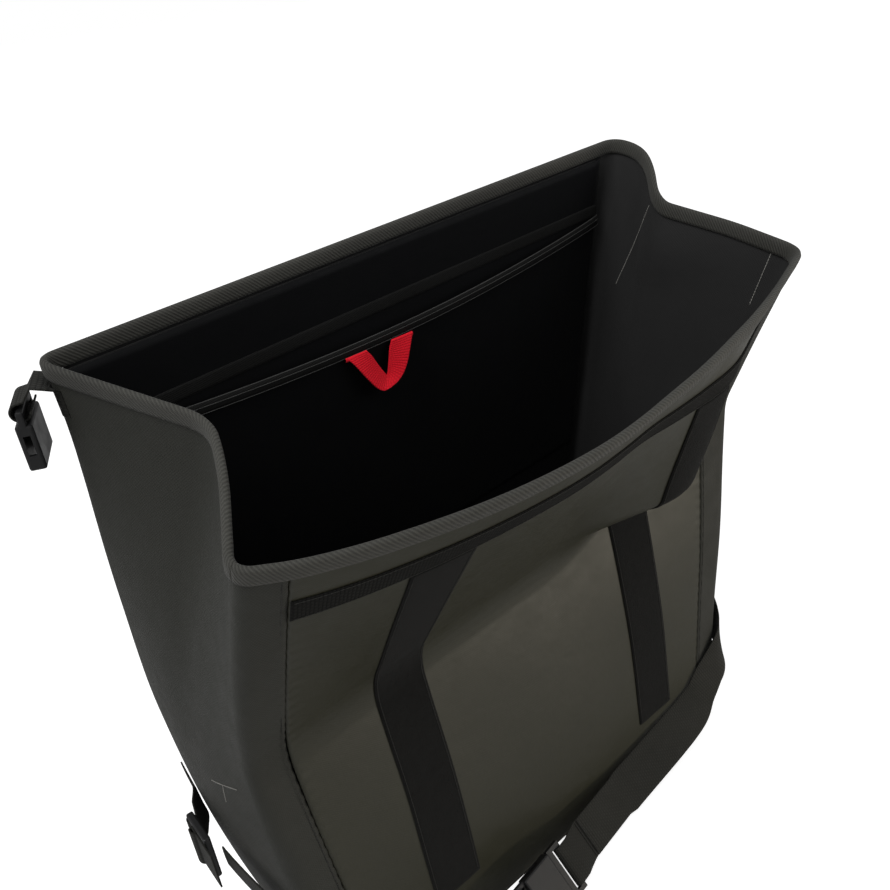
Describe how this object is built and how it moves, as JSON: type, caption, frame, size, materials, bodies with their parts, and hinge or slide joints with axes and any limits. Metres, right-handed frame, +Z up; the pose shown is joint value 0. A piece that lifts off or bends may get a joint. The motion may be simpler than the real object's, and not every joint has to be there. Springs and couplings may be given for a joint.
{
  "type": "bike front bag",
  "caption": "Open roll-top front rack bag: box of coated cloth with bound rim, hook and loop strips, inner pocket, pull loop, corner clips and a buckled front strap.",
  "frame": {"origin": "centre of the base's underside", "axes": "+X along the mouth to the bag's left as seen from its back, +Y to the back panel, +Z up"},
  "size_m": [0.6697, 0.3317, 0.5791],
  "materials": {
    "coated_cloth": "satin coated weave, charcoal olive",
    "canvas": "matt canvas weave, charcoal olive",
    "lining": "matt near-black lining",
    "board": "stiff board",
    "binding_tape": "diagonal twill tape",
    "hook_tape": "hook and loop tape",
    "webbing": "ribbed webbing",
    "red_webbing": "ribbed red webbing",
    "buckle_plastic": "moulded black plastic"
  },
  "bodies": {
    "bag": {"front_panel": "coated_cloth", "back_panel": "coated_cloth", "left_side_panel": "canvas", "right_side_panel": "canvas", "base_panel": "canvas", "back_lining": "lining", "pocket_panel": "lining", "base_board": "board", "back_board": "board", "rim_binding": "binding_tape", "pocket_binding": "binding_tape", "pocket_hem_tape": "binding_tape", "hook_strip": "hook_tape", "left_loop_strip": "hook_tape", "right_loop_strip": "hook_tape", "left_clip_tab": "webbing", "right_clip_tab": "webbing", "left_anchor_strap": "webbing", "left_strap": "webbing", "right_strap": "webbing", "centre_buckle_female": "buckle_plastic"},
    "left_clip_body": {"left_clip": "buckle_plastic"},
    "right_clip_body": {"right_clip": "buckle_plastic"},
    "pull_loop_body": {"pull_loop": "red_webbing"},
    "lock_body": {"left_ladder_lock": "buckle_plastic", "left_strap_winding": "webbing"},
    "male_body": {"centre_buckle_male": "buckle_plastic", "right_strap_end": "webbing"}
  },
  "joints": [
    {"name": "left_clip_swing", "type": "hinge", "parent": "bag", "child": "left_clip_body", "pos_m": [-0.28745, 0.12543, 0.52417], "axis": [0.4332, 0.9013, 0], "range_deg": [-12, 120]},
    {"name": "right_clip_swing", "type": "hinge", "parent": "bag", "child": "right_clip_body", "pos_m": [0.35154, 0.12737, 0.54744], "axis": [0.5248, -0.8512, 0], "range_deg": [-12, 120]},
    {"name": "pull_loop_lift", "type": "hinge", "parent": "bag", "child": "pull_loop_body", "pos_m": [-0.012, 0.0942, 0.476], "axis": [-1, 0, 0], "range_deg": [0, 110]},
    {"name": "ladder_lock_tilt", "type": "hinge", "parent": "bag", "child": "lock_body", "pos_m": [-0.29571, 0.02638, 0.152], "axis": [0, 0, -1], "range_deg": [0, 25]},
    {"name": "centre_buckle_release", "type": "slide", "parent": "bag", "child": "male_body", "axis": [0.9925, 0.1219, 0], "range_m": [0, 0.03]}
  ]
}
